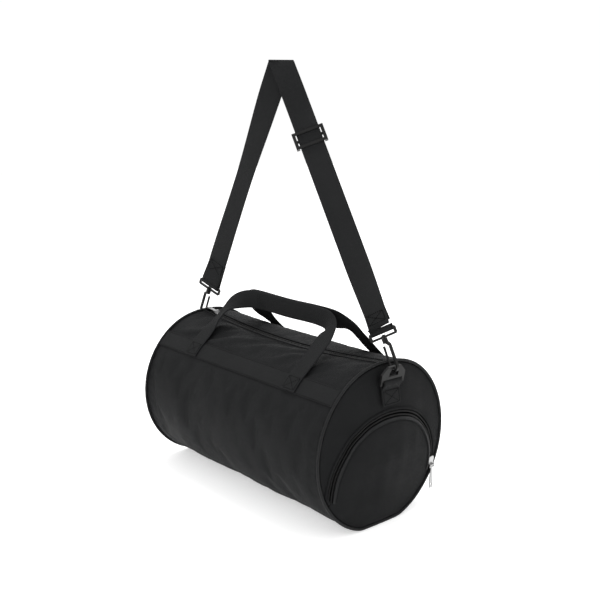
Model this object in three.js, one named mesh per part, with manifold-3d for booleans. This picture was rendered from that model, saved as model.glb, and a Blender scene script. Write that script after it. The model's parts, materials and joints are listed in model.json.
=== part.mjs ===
// A barrel duffel bag lying on its side seam, with an arched zip pocket at one end.
// Millimetres. +X runs along the barrel to the pocket end, +Z is up, the floor is z = 0.
import * as THREE from 'three';
import Module from 'manifold-3d';
import { mergeVertices } from 'three/addons/utils/BufferGeometryUtils.js';

const wasm = await Module();
wasm.setup();

// Barrel
const HALF_LENGTH = 216.4;      // half the length of the body fabric between the end seams
const BODY_A = 131;             // half-width of the barrel
const BODY_B = 130;             // half-height of the barrel before its base is flattened
const BODY_ZC = 127;            // height of the barrel's axis
const FABRIC = 1.6;             // coated polyester
const SAG_MID = 17;             // how far the top sinks at mid-length
const SAG_REACH = 85;           // half-width of the sunken strip along the top
const ZIP_ARC_R = 1672;         // radius of the arc the sagging zip follows
const SLOT_HALF = 8;            // half-width of the window in the fabric over the zip
// Ends
const END_X = 218.5;            // where the end discs meet the piping
const DOME_FRONT = 17;          // how far the pocket end bulges out
const DOME_REAR = 10;
const PIPING_R = 2.3;
// Pocket zip arch in the front disc
const ARCH_Y = 0;
const ARCH_Z = 70;
const ARCH_R = 108;
const ARCH_LOW = 0.9935;        // the arch's circle leans with the dome, so it's a little lower than wide
const FOLD_Z = 62;              // height of the line the pocket front folds along
// Webbing
const BAND_FROM = 130;          // angles of the webbing bands round the barrel, degrees
const BAND_TO = 143;
const WEB = 1.6;                // webbing thickness
const FOOT_X = 123;             // handle feet, from mid-length
const HANDLE_W = 30;
const HANDLE_T = 2;
const STRAP_W = 38;
const STRAP_T = 1.5;
// Strap ends and hooks
const APEX = new THREE.Vector3(-25, 0, 685);
const APEX_TURN = 36;           // how far the fold at the top is turned towards the front, degrees
const RING_BAR_Z = 227;         // height of the bar each D-ring turns on
const RING_LEAN = 10;           // D-ring tilt away from the end disc, degrees
const RING_REACH = 24;          // from that bar to the middle of the ring's top bar
const HOOK_LENGTH = 55;         // from the ring's top bar to the bar in the strap's loop

const rad = THREE.MathUtils.degToRad;
const V = (x, y, z) => new THREE.Vector3(x, y, z);
const X = V(1, 0, 0);
const Y = V(0, 1, 0);
const Z = V(0, 0, 1);

const bag = new THREE.Group();
bag.name = 'duffel_bag';

const MATERIALS = {
  fabric: { color: 0x17181b, roughness: 0.75, metalness: 0 },
  webbing: { color: 0x111214, roughness: 0.85, metalness: 0 },
  piping: { color: 0x1c1d20, roughness: 0.6, metalness: 0 },
  zip_tape: { color: 0x0e0f11, roughness: 0.85, metalness: 0 },
  zip_coil: { color: 0x1a1b1d, roughness: 0.45, metalness: 0 },
  lining: { color: 0x2a2b2e, roughness: 0.7, metalness: 0 },
  board: { color: 0x202124, roughness: 0.6, metalness: 0 },
  plastic: { color: 0x1d1e20, roughness: 0.4, metalness: 0 },
  puller: { color: 0xb9bcc0, roughness: 0.3, metalness: 0.9 },
};

function add(name, slot, geometry) {
  const material = new THREE.MeshStandardMaterial(MATERIALS[slot]);
  const mesh = new THREE.Mesh(geometry, material);
  mesh.name = name;
  bag.add(mesh);
  return mesh;
}

// A closed solid from triangles, turned face out if need be.
function solidFrom(points, faces) {
  let volume = 0;
  for (const [a, b, c] of faces) {
    volume += points[a].dot(V(0, 0, 0).crossVectors(points[b], points[c]));
  }
  const index = volume < 0 ? faces.flatMap(([a, b, c]) => [a, c, b]) : faces.flat();
  const geometry = new THREE.BufferGeometry();
  geometry.setAttribute('position', new THREE.Float32BufferAttribute(points.flatMap((p) => p.toArray()), 3));
  geometry.setIndex(index);
  return geometry;
}

// Rings of equal length joined into a solid. The caps are fans unless strip is set:
// a strip ring holds an outer run and then the same run inside, backwards.
function loft(rings, { closed = false, strip = false } = {}) {
  const n = rings[0].length;
  const m = rings.length;
  const faces = [];
  const spans = closed ? m : m - 1;
  for (let i = 0; i < spans; i += 1) {
    const a = i * n;
    const b = ((i + 1) % m) * n;
    for (let j = 0; j < n; j += 1) {
      const k = (j + 1) % n;
      faces.push([a + j, a + k, b + k], [a + j, b + k, b + j]);
    }
  }
  if (!closed) {
    for (const [start, flip] of [[0, true], [(m - 1) * n, false]]) {
      const cap = [];
      if (strip) {
        for (let j = 0; j < n / 2 - 1; j += 1) {
          cap.push([j, j + 1, n - 2 - j], [j, n - 2 - j, n - 1 - j]);
        }
      } else {
        for (let j = 1; j < n - 1; j += 1) cap.push([0, j, j + 1]);
      }
      for (const [p, q, r] of cap) {
        faces.push(flip ? [start + p, start + r, start + q] : [start + p, start + q, start + r]);
      }
    }
  }
  return solidFrom(rings.flat(), faces);
}

// A flat outline in the two given directions, pushed along the third.
function plate(outlinePoints, origin, u, v, w, from, to, holes = []) {
  const shape = new THREE.Shape(outlinePoints.map(([a, b]) => new THREE.Vector2(a, b)));
  for (const hole of holes) {
    shape.holes.push(new THREE.Path(hole.map(([a, b]) => new THREE.Vector2(a, b))));
  }
  const geometry = new THREE.ExtrudeGeometry(shape, { depth: to - from, bevelEnabled: false });
  geometry.translate(0, 0, from);
  const frame = new THREE.Matrix4().makeBasis(u, v, w).setPosition(origin);
  geometry.applyMatrix4(frame);
  return cleaned(geometry, frame.determinant() < 0);
}

function cleaned(geometry, mirrored = false) {
  geometry.deleteAttribute('normal');
  geometry.deleteAttribute('uv');
  const merged = mergeVertices(geometry, 1e-4);
  if (mirrored) {
    const index = merged.index.array;
    for (let i = 0; i < index.length; i += 3) [index[i + 1], index[i + 2]] = [index[i + 2], index[i + 1]];
  }
  return merged;
}

function toManifold(geometry) {
  const merged = mergeVertices(geometry, 1e-4);
  return new wasm.Manifold(new wasm.Mesh({
    numProp: 3,
    vertProperties: Float32Array.from(merged.attributes.position.array),
    triVerts: Uint32Array.from(merged.index.array),
  }));
}

function fromManifold(manifold) {
  const mesh = manifold.getMesh();
  const geometry = new THREE.BufferGeometry();
  geometry.setAttribute('position', new THREE.Float32BufferAttribute(mesh.vertProperties, 3));
  geometry.setIndex(Array.from(mesh.triVerts));
  return mergeVertices(geometry, 1e-4);
}

const cut = (a, ...tools) => fromManifold(
  tools.reduce((rest, tool) => rest.subtract(toManifold(tool)), toManifold(a)),
);
const common = (a, b) => fromManifold(toManifold(a).intersect(toManifold(b)));
const joined = (...parts) => fromManifold(
  parts.map(toManifold).reduce((whole, part) => whole.add(part)),
);

const circle = (cx, cy, r, steps = 20, from = 0, to = 360) => {
  const full = to - from >= 360;
  const count = full ? steps : steps + 1;
  return Array.from({ length: count }, (_, i) => {
    const a = rad(from + ((to - from) * i) / steps);
    return [cx + r * Math.cos(a), cy + r * Math.sin(a)];
  });
};
const box = (a0, b0, a1, b1) => [[a0, b0], [a1, b0], [a1, b1], [a0, b1]];
const steps = (from, to, count) => (
  Array.from({ length: count + 1 }, (_, i) => from + ((to - from) * i) / count)
);

// ---------------------------------------------------------------- barrel

// Point on the barrel's cross-section at x, off millimetres outside the fabric's outer face.
function section(x, degrees, off, floor = -off) {
  const phi = rad(degrees);
  const y = (BODY_A + off) * Math.cos(phi);
  let z = BODY_ZC + (BODY_B + off) * Math.sin(phi);
  if (Math.sin(phi) > 0 && Math.abs(y) < SAG_REACH) {
    const sag = SAG_MID - (x * x) / (2 * ZIP_ARC_R);
    z -= sag * Math.cos((Math.PI * y) / (2 * SAG_REACH)) ** 2;
  }
  return V(x, y, Math.max(z, floor));
}

// A skin between two offsets and two angles, lofted along X.
function skin(xs, from, to, count, inner, outer) {
  const angles = steps(from, to, count);
  return loft(xs.map((x) => [
    ...angles.map((a) => section(x, a, outer)),
    ...angles.toReversed().map((a) => section(x, a, inner)),
  ]), { strip: true });
}

const angleAt = (y, off) => THREE.MathUtils.radToDeg(Math.acos(y / (BODY_A + off)));
const stations = steps(-HALF_LENGTH, HALF_LENGTH, 8);
const slotAngle = angleAt(SLOT_HALF, 0);

add('body_shell', 'fabric', skin(stations, slotAngle, slotAngle - 360 + 2 * (90 - slotAngle), 40, -FABRIC, 0));

for (const [side, flip] of [['front', 1], ['back', -1]]) {
  const from = flip > 0 ? BAND_FROM : 180 - BAND_TO;
  const to = flip > 0 ? BAND_TO : 180 - BAND_FROM;
  add(`band_${side}`, 'webbing', skin(steps(-214, 214, 4), from, to, 3, 0.4, 0.4 + WEB));
}

for (const [side, sign] of [['front', -1], ['back', 1]]) {
  const turn = (inner, outer, off) => {
    const a = angleAt(sign * inner, off);
    return [a, angleAt(sign * outer, off)];
  };
  const [tapeFrom, tapeTo] = turn(1.9, 14, -2.1);
  add(`zip_tape_${side}`, 'zip_tape', skin(steps(-212, 212, 8), tapeFrom, tapeTo, 2, -2.9, -2.1));
  const [coilFrom, coilTo] = turn(1.4, 4.4, 0);
  add(`zip_coil_${side}`, 'zip_coil', skin(steps(-208, 208, 8), coilFrom, coilTo, 1, -1.8, 0.5));
}

for (const [end, sign] of [['front', 1], ['rear', -1]]) {
  const xs = [sign * 205.5, sign * 214];
  add(`seam_binding_${end}`, 'lining', skin(xs, 80, -260, 32, -3.8, -2.6));

  const rings = steps(0, 350, 35).map((a) => {
    const c = section(sign * (END_X + 0.5), a, 1, PIPING_R + 0.01);
    const out = V(0, Math.cos(rad(a)), Math.sin(rad(a)));
    return circle(0, 0, PIPING_R, 6).map(([p, q]) => c.clone().addScaledVector(out, p).addScaledVector(X, q));
  });
  add(`piping_${end}`, 'piping', loft(rings, { closed: true }));
}

add('base_board', 'board', plate(
  [[-203, -34], [-199, -38], [172, -38], [176, -34], [176, 34], [172, 38], [-199, 38], [-203, 34]],
  V(0, 0, 0), X, Y, Z, 5.4, 7.9,
));

// ---------------------------------------------------------------- end discs

const DISC_RINGS = [0.4, 0.75, 1];

// How far the disc stands out at a point of the YZ plane.
function bulge(height, y, z) {
  const r2 = (y / BODY_A) ** 2 + ((z - BODY_ZC) / BODY_B) ** 2;
  return height * Math.max(0, 1 - r2);
}

// A domed disc between two offsets from its outer face. inset is how far its rim lies inside
// the barrel's outline, and floor how low it may reach.
function disc(sign, x0, height, inner, outer, inset, floor, sectors = 30) {
  const face = (off) => [
    V(sign * (x0 + bulge(height, 0, BODY_ZC) + off), 0, BODY_ZC),
    ...DISC_RINGS.flatMap((share) => steps(0, sectors - 1, sectors - 1).map((i) => {
      const rim = section(x0, (360 * i) / sectors, -inset, floor);
      const y = rim.y * share;
      const z = BODY_ZC + (rim.z - BODY_ZC) * share;
      return V(sign * (x0 + bulge(height, y, z) + off), y, z);
    })),
  ];
  const top = face(outer);
  const count = top.length;
  const faces = [];
  for (let i = 0; i < sectors; i += 1) {
    const j = (i + 1) % sectors;
    faces.push([0, 1 + i, 1 + j], [count, count + 1 + j, count + 1 + i]);
    for (let ring = 0; ring < DISC_RINGS.length - 1; ring += 1) {
      const a = 1 + ring * sectors;
      const b = a + sectors;
      faces.push([a + i, b + i, b + j], [a + i, b + j, a + j]);
      faces.push([count + a + i, count + b + j, count + b + i], [count + a + i, count + a + j, count + b + j]);
    }
    const rim = 1 + (DISC_RINGS.length - 1) * sectors;
    faces.push([rim + i, count + rim + i, count + rim + j], [rim + i, count + rim + j, rim + j]);
  }
  return solidFrom([...top, ...face(inner)], faces);
}

// The arch: a half circle on straight legs that stop at height z.
const ARCH_STEPS = 24;
const archTop = (r) => (
  circle(ARCH_Y, 0, r, ARCH_STEPS, 0, 180).map(([y, z]) => [y, ARCH_Z + ARCH_LOW * z])
);
const arch = (r, z) => [[ARCH_Y - r, z], [ARCH_Y + r, z], ...archTop(r)];
const throughX = (outlinePoints) => plate(outlinePoints, V(0, 0, 0), Y, Z, X, 150, 260);
const RIM_INSET = 2.6;
const RIM_FLOOR = 2 * PIPING_R + 1;
const frontFabric = disc(1, END_X, DOME_FRONT, -FABRIC, 0, RIM_INSET, RIM_FLOOR);

// A strip that follows the arch between two radii and two offsets from the dome.
function archStrip(innerR, outerR, inner, outer) {
  const track = (r) => [
    [ARCH_Y + r, FOLD_Z + 1], ...archTop(r), [ARCH_Y - r, FOLD_Z + 1],
  ];
  const near = track(innerR);
  const far = track(outerR);
  const lift = ([y, z], off) => V(END_X + bulge(DOME_FRONT, y, z) + off, y, z);
  return loft(near.map((p, i) => [
    lift(p, inner), lift(far[i], inner), lift(far[i], outer), lift(p, outer),
  ]));
}

add('end_panel_rear', 'fabric', disc(-1, END_X, DOME_REAR, -FABRIC, 0, RIM_INSET, RIM_FLOOR));
add('end_panel_front', 'fabric', common(
  frontFabric,
  cut(throughX(box(-140, 70, 140, 270)), throughX(arch(ARCH_R + 5, FOLD_Z))),
));
add('pocket_front', 'fabric', common(frontFabric, throughX(arch(ARCH_R - 5, FOLD_Z + 0.6))));
add('pocket_base', 'fabric', common(frontFabric, throughX(box(-140, -10, 140, FOLD_Z))));
const rimInside = throughX(steps(0, 350, 35).map((a) => {
  const p = section(END_X, a, -RIM_INSET - 0.4, RIM_FLOOR);
  return [p.y, p.z];
}));
const insideRim = (geometry) => common(geometry, rimInside);
add('pocket_tape_outer', 'zip_tape', insideRim(archStrip(ARCH_R + 1.4, ARCH_R + 7.5, -3.1, -2.3)));
add('pocket_tape_inner', 'zip_tape', archStrip(ARCH_R - 8.5, ARCH_R - 1.4, -3.1, -2.3));
add('pocket_coil_outer', 'zip_coil', insideRim(archStrip(ARCH_R + 1, ARCH_R + 3.8, -1.8, 0.5)));
add('pocket_coil_inner', 'zip_coil', archStrip(ARCH_R - 3.8, ARCH_R - 1, -1.8, 0.5));

// The partition behind the pocket stops short of the zip and its slider.
const DIVIDER_X = 178;
const underZip = throughX(box(-17, BODY_ZC + BODY_B - SAG_MID + 2, 17, 300));
add('pocket_divider', 'lining', cut(disc(1, DIVIDER_X, 6, -1, 0, 3.2, 3.2), underZip));

// ---------------------------------------------------------------- zip sliders

// Sliders are drawn with u along the zip, v across it and w out of the bag, w = 0 on the fabric.
const SLIDER_TOP = [[-8, -3.5], [-5, -5.2], [5, -5.6], [8, -3.5], [8, 3.5], [5, 5.6], [-5, 5.2], [-8, 3.5]];

function sliderBody(origin, u, v, w, wingFrom, wingTo) {
  const part = (outlinePoints, from, to) => plate(outlinePoints, origin, u, v, w, from, to);
  const lug = (at) => part(box(at, -3.4, at + 2, 3.4), 2.3, 5.9);
  const eye = plate(circle(-6, 4.3, 0.95, 10), origin, u, w, v, -10, 10);
  const body = joined(
    part(SLIDER_TOP, 1, 2.5),
    part(box(1, -0.7, 6, 0.7), -4, 1.2),
    part(box(-7, wingFrom, 7, wingTo), -4.8, -3.6),
    lug(-7),
  );
  return cut(body, eye);
}

// A flat puller that hangs on a cross pin. It points along u from the pin.
function pullerBody(origin, u, v, w, length, width) {
  const grip = plate(
    [[2, -1.6], [length * 0.45, -width * 0.4], [length, -width / 2], [length, width / 2],
      [length * 0.45, width * 0.4], [2, 1.6]],
    origin, u, v, w, -0.6, 0.6,
    [circle(length - 5.5, 0, 1.7, 10).toReversed()],
  );
  const cheek = (side) => plate(
    box(-1.2, -1.2, 3.4, 1.2),
    origin, u, w, v, side > 0 ? 3.8 : -5, side > 0 ? 5 : -3.8,
  );
  const bridge = plate(box(2.6, -5, 4.4, 5), origin, u, v, w, -0.9, 0.9);
  const pin = plate(circle(0, 0, 0.7, 10), origin, u, w, v, -4.4, 4.4);
  return joined(grip, cheek(1), cheek(-1), bridge, pin);
}

const zipTop = (x) => BODY_ZC + BODY_B - SAG_MID + (x * x) / (2 * ZIP_ARC_R);
const SLIDER_X = -187;
const slope = Math.asin(SLIDER_X / ZIP_ARC_R);
const zipAlong = V(Math.cos(slope), 0, Math.sin(slope));
const zipOut = V(-Math.sin(slope), 0, Math.cos(slope));
const sliderAt = V(SLIDER_X, 0, zipTop(SLIDER_X));
const mainPin = sliderAt.clone().addScaledVector(zipAlong, -6).addScaledVector(zipOut, 4.3);
add('main_slider', 'puller', sliderBody(sliderAt, zipAlong, Y, zipOut, -4.6, 4.6));
const lie = rad(7);
const mainPull = V(-Math.cos(lie), 0, Math.sin(lie));
const mainPullOut = V(Math.sin(lie), 0, Math.cos(lie));
add('main_puller', 'puller', pullerBody(mainPin, mainPull, Y, mainPullOut, 24, 8));

// The pocket slider runs in a plane that leans with the dome.
const archSide = END_X + bulge(DOME_FRONT, ARCH_Y + ARCH_R, ARCH_Z);
const archCrown = END_X + bulge(DOME_FRONT, ARCH_Y, ARCH_Z + ARCH_R * ARCH_LOW);
const archLean = Math.atan((archCrown - archSide) / (ARCH_R * ARCH_LOW));
const archUp = V(Math.sin(archLean), 0, Math.cos(archLean));
const archOut = V(Math.cos(archLean), 0, -Math.sin(archLean));
const archCentre = V(archSide, ARCH_Y, ARCH_Z);
const START = 3;
const along = (a) => archUp.clone().multiplyScalar(Math.cos(a)).addScaledVector(Y, -Math.sin(a));
const outwards = (a) => archUp.clone().multiplyScalar(Math.sin(a)).addScaledVector(Y, Math.cos(a));
const pocketAt = archCentre.clone().addScaledVector(outwards(rad(START)), ARCH_R).addScaledVector(archOut, 0.7);
const pocketAlong = along(rad(START));
const pocketAcross = outwards(rad(START));
add('pocket_slider', 'puller', sliderBody(pocketAt, pocketAlong, pocketAcross, archOut, -4.6, 0.4));
const pocketPin = pocketAt.clone().addScaledVector(pocketAlong, -6).addScaledVector(archOut, 4.3);
add('pocket_puller', 'puller', pullerBody(pocketPin, V(0, 0, -1), Y, X, 38, 8));

// ---------------------------------------------------------------- handles

// A strip of webbing along points, flat side facing each normal.
function ribbon(stops, width, thickness) {
  const points = stops.map(([p]) => p);
  return loft(stops.map(([p, across]) => {
    const i = points.indexOf(p);
    const before = points[Math.max(0, i - 1)];
    const after = points[Math.min(points.length - 1, i + 1)];
    const tangent = after.clone().sub(before).normalize();
    const w = across.clone().addScaledVector(tangent, -across.dot(tangent)).normalize();
    const n = V(0, 0, 0).crossVectors(tangent, w);
    return [[-1, -1], [1, -1], [1, 1], [-1, 1]].map(([a, b]) => p.clone()
      .addScaledVector(w, (a * width) / 2)
      .addScaledVector(n, (b * thickness) / 2));
  }));
}

// Centre points of each leg of the front handle and the webbing's width direction, from its foot
// to the grip. The left leg turns edge-on on its way up and the right one folds into the grip.
const HANDLE_LEFT = [
  [V(-123, -85.6, 229.9), V(1, 0, 0)],
  [V(-123.5, -68, 245), V(1, -0.12, 0)],
  [V(-124, -50, 261.5), V(0.86, -0.48, 0)],
  [V(-121.5, -33, 277), V(0.74, -0.6, -0.22)],
  [V(-112, -18, 289.5), V(0.5, -0.42, -0.75)],
  [V(-94, -8, 295.6), V(0.22, -0.15, -0.96)],
  [V(-70, -3.6, 297), V(0, 0, -1)],
];
const HANDLE_RIGHT = [
  [V(123, -85.6, 229.9), V(1, 0, 0)],
  [V(123.5, -68, 245), V(1, 0, 0)],
  [V(124.5, -50, 261.5), V(0.98, 0.12, 0.1)],
  [V(123.5, -33, 277), V(0.9, 0.3, 0.3)],
  [V(118.5, -18.5, 288.5), V(0.62, 0.34, 0.7)],
  [V(104, -8.5, 295), V(0.2, 0.14, 0.96)],
  [V(76, -3.6, 297), V(0, 0, 1)],
];

for (const [side, flip] of [['front', 1], ['back', -1]]) {
  const toSide = (p) => V(p.x, p.y * flip, p.z);
  const left = HANDLE_LEFT.map(([p, w]) => [toSide(p), toSide(w)]);
  const right = HANDLE_RIGHT.toReversed().map(([p, w]) => [toSide(p), toSide(w).negate()]);
  const middle = [[V(0, -2.6 * flip, 296), V(0, 0, -1)]];
  const curve = new THREE.CatmullRomCurve3([...left, ...middle, ...right].map(([p]) => p), false, 'centripetal');
  const across = new THREE.CatmullRomCurve3([...left, ...middle, ...right].map(([, w]) => w), false);
  const stops = steps(0, 1, 28).map((t) => [curve.getPoint(t), across.getPoint(t)]);
  add(`handle_${side}`, 'webbing', ribbon(stops, HANDLE_W, HANDLE_T));

  for (const [end, sx] of [['left', -1], ['right', 1]]) {
    const from = flip > 0 ? BAND_FROM + 0.4 : 180 - BAND_TO + 0.6;
    const to = flip > 0 ? BAND_TO - 0.6 : 180 - BAND_FROM - 0.4;
    const xs = [sx * FOOT_X - HANDLE_W / 2, sx * FOOT_X + HANDLE_W / 2];
    add(`handle_foot_${side}_${end}`, 'webbing', skin(xs, from, to, 3, WEB + 0.7, 2 * WEB + 0.7));
  }
}

// ---------------------------------------------------------------- D-rings and their tabs

const tabFace = (sign, z) => END_X + bulge(sign > 0 ? DOME_FRONT : DOME_REAR, 0, z);
const ringBar = (sign) => V(sign * (tabFace(sign, RING_BAR_Z) + 5.8), 0, RING_BAR_Z);

for (const [end, sign] of [['front', 1], ['rear', -1]]) {
  const bar = ringBar(sign);
  const low = 193;
  const high = 223.6;
  const heights = steps(low, high, 4);
  const patch = plate([
    ...heights.map((z) => [sign * (tabFace(sign, z) + 0.6), z]),
    ...heights.toReversed().map((z) => [sign * (tabFace(sign, z) + 3.6), z]),
  ], V(0, 0, 0), X, Z, Y.clone().negate(), -19, 19);
  const loop = plate(
    circle(bar.x, bar.z, 5.1, 20), V(0, 0, 0), X, Z, Y.clone().negate(), -19, 19,
    [circle(bar.x, bar.z, 3.5, 16).toReversed()],
  );
  add(`ring_tab_${end}`, 'webbing', joined(patch, loop));

  const lean = rad(RING_LEAN);
  const up = V(sign * Math.sin(lean), 0, Math.cos(lean));
  const out = V(sign * Math.cos(lean), 0, -Math.sin(lean));
  const outerEdge = [[-24.5, -2.2], [24.5, -2.2], [24.5, 15], [13, 26], [-13, 26], [-24.5, 15]];
  const webSlot = [[-19.8, 2.2], [-19.8, 6], [19.8, 6], [19.8, 2.2]];
  const hookHole = [[-9.5, 10.5], [-9.5, 16], [-5, 22], [5, 22], [9.5, 16], [9.5, 10.5]];
  add(`d_ring_${end}`, 'plastic', plate(outerEdge, bar, Y, up, out, -1.8, 1.8, [webSlot, hookHole]));
}

// ---------------------------------------------------------------- strap, hooks and slider

const ends = { front: {}, rear: {} };
for (const [end, sign, bracket] of [['front', 1, V(208, 0, 299)], ['rear', -1, V(-213, 0, 295)]]) {
  const lean = rad(RING_LEAN);
  const ring = ringBar(sign).add(V(sign * Math.sin(lean) * RING_REACH, 0, Math.cos(lean) * RING_REACH));
  const up = bracket.clone().sub(ring).normalize();
  const inward = V(0, 0, 0).crossVectors(Y, up).multiplyScalar(-sign);
  ends[end] = { sign, ring, up, inward, top: ring.clone().addScaledVector(up, HOOK_LENGTH) };

  // The hook is flat in the XZ plane: a barrel, an outer arm, a round bottom and a short tip.
  const lay = (outlinePoints, half) => plate(outlinePoints, ring, inward, up, Y, -half, half);
  const hookEdge = [
    [5.6, 7.6], ...circle(0, 1, 5, 10, 180, 360).toReversed(),
    [-5, 31.5], [1.5, 37], [1.5, 38.6], [-3.8, 38.6], [-8.2, 33.5],
    ...circle(0, 1, 8.2, 12, 180, 360), [7.6, 7.6],
  ];
  const round = (r, from, to, count = 14) => (
    plate(circle(0, 0, r, count), ring, inward, Y, up, from, to)
  );
  const stem = joined(round(4.4, 36.4, 43.6), round(1.5, 43, 48.6, 12), round(2.8, 47.9, 49.1, 12));
  add(`hook_${end}`, 'plastic', joined(lay(hookEdge, 2), stem));
  const gate = [[5.7, 8.2], [7.5, 8.2], [7.4, 33], [5, 33]];
  add(`gate_${end}`, 'plastic', lay(gate, 1.5));

  // The bracket is turned with the strap: the webbing's width runs along wide.
  ends[end].turn = end === 'front' ? 14 : 15;
  const facing = V(Math.sin(rad(ends[end].turn)), -Math.cos(rad(ends[end].turn)), 0);
  const normal = facing.addScaledVector(up, -facing.dot(up)).normalize();
  const wide = V(0, 0, 0).crossVectors(normal, up);
  Object.assign(ends[end], { normal, wide });
  const frameFace = (pts, from, to, holes) => plate(pts, ends[end].top, wide, up, normal, from, to, holes);
  const frame = frameFace(
    [[-22, 1.6], [-24, -0.6], [-24, -9], [-22, -10.8], [22, -10.8], [24, -9], [24, -0.6], [22, 1.6]],
    -1.6, 1.6, [box(-20.6, -7.6, 20.6, -1.6).toReversed()],
  );
  const boss = plate(circle(0, 0, 4.4, 14), ends[end].top, wide, normal, up, -10.8, -7.6);
  const pinHole = plate(circle(0, 0, 1.9, 12), ends[end].top, wide, normal, up, -12, -7);
  add(`hook_loop_${end}`, 'plastic', cut(joined(frame, boss), pinHole));
}

// Each strap leg steps aside along Y as it leaves the turned fold, runs straight and then comes
// back to its hook. turns holds how far its face is turned at shares of its length.
const LEGS = {
  front: { end: ends.front, aside: 13, turns: [[0, APEX_TURN], [0.2, 50], [0.68, 50], [0.97, 14], [1, 14]] },
  rear: { end: ends.rear, aside: -11, turns: [[0, APEX_TURN], [0.5, 4], [0.97, 15], [1, 15]] },
};
const ease = THREE.MathUtils.smoothstep;

function turnAt(turns, share) {
  const i = Math.max(1, turns.findIndex(([s]) => s >= share));
  const [s0, t0] = turns[i - 1];
  const [s1, t1] = turns[i];
  return t0 + (t1 - t0) * THREE.MathUtils.smoothstep(share, s0, s1);
}

// A place on a leg: share of its length from the apex, off millimetres out of its face.
function legPoint(name, share, off) {
  const { end, aside, turns } = LEGS[name];
  const foot = end.top.clone();
  const p = APEX.clone().lerp(foot, share);
  const side = aside * ease(share, 0, 0.2) * (1 - ease(share, 0.7, 0.99));
  p.add(V(-1.1 * side, side, 0));
  const t = rad(turnAt(turns, share));
  const n = V(Math.sin(t), -Math.cos(t), 0);
  const down = foot.clone().sub(APEX).normalize();
  n.addScaledVector(down, -n.dot(down)).normalize();
  const w = V(0, 0, 0).crossVectors(n, down).normalize();
  return [p.addScaledVector(n, off), w];
}

const legStrip = (name, shares, off, thickness) => ribbon(
  shares.map((s) => legPoint(name, s, off(s))), STRAP_W, thickness,
);

// The webbing turns round the bar of a hook loop. The bar is at the loop's top.
const WRAP_R = 3.3;
function wrap({ top, normal, up, wide }) {
  const at = (out, rise) => top.clone().addScaledVector(normal, out).addScaledVector(up, rise);
  const round = steps(0, 180, 8).map((a) => at(WRAP_R * Math.cos(rad(a)), -WRAP_R * Math.sin(rad(a))));
  const stops = [at(WRAP_R, 3), ...round, at(-WRAP_R, 6)];
  return ribbon(stops.map((p) => [p, wide]), STRAP_W, STRAP_T);
}

const front = legStrip('front', [...steps(-0.02, 0.2, 7), ...steps(0.68, 0.997, 11)], (s) => 0.95 + 2.05 * ease(s, 0.93, 0.99), STRAP_T);
const rear = legStrip('rear', steps(-0.02, 0.997, 18), (s) => -0.95 + 3.95 * ease(s, 0.9, 0.99), STRAP_T);
const rearBack = legStrip('rear', steps(0.87, 0.997, 4), (s) => -1.8 - 1.2 * ease(s, 0.9, 0.99), STRAP_T);
const aboveFold = plate(box(-120, 0, 120, 60), APEX, X, Z, Y, -60, 60);
const strap = cut(joined(front, rear, rearBack, wrap(ends.front), wrap(ends.rear)), aboveFold);
const foldAlong = V(Math.cos(rad(APEX_TURN)), Math.sin(rad(APEX_TURN)), 0);
const foldOut = V(Math.sin(rad(APEX_TURN)), -Math.cos(rad(APEX_TURN)), 0);
const fold = plate(box(-19.5, -2.4, 19.5, 0.6), APEX, foldAlong, Z, foldOut, -1.7, 1.7);
add('strap_webbing', 'webbing', joined(strap, fold));

const SLIDER_SHARE = 0.3;
const RETURN_TOP = SLIDER_SHARE + 0.014;
add('strap_return', 'webbing', legStrip(
  'front', [RETURN_TOP, ...steps(0.68, 0.975, 9)],
  (s) => -1 - 2 * ease(s, 0.93, 0.975), 1.4,
));

// The adjuster: outer bars pass in front of the strap and the middle bar behind it.
const [buckleAt, buckleWide] = legPoint('front', SLIDER_SHARE, 0.95);
const buckleDown = ends.front.top.clone().sub(APEX).normalize();
const buckleOut = V(0, 0, 0).crossVectors(buckleDown, buckleWide).normalize();
const buckleUp = buckleDown.clone().negate();
const buckle = (pts, from, to) => plate(pts, buckleAt, buckleWide, buckleUp, buckleOut, from, to);
add('strap_adjuster', 'plastic', joined(
  buckle(box(-25.5, -13.5, -20.5, 13.5), -4.6, 3.6),
  buckle(box(20.5, -13.5, 25.5, 13.5), -4.6, 3.6),
  buckle(box(-21, 9, 21, 13.5), 1.4, 3.6),
  buckle(box(-21, -13.5, 21, -9), 1.4, 3.6),
  buckle(box(-21, -2, 21, 2), -4.6, -1.4),
));

export default bag;
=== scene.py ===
"""Barrel duffel bag: fabric, webbing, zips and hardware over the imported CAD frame."""
import json
import math

import bpy
import numpy as np
from mathutils import Matrix, Vector


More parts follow.
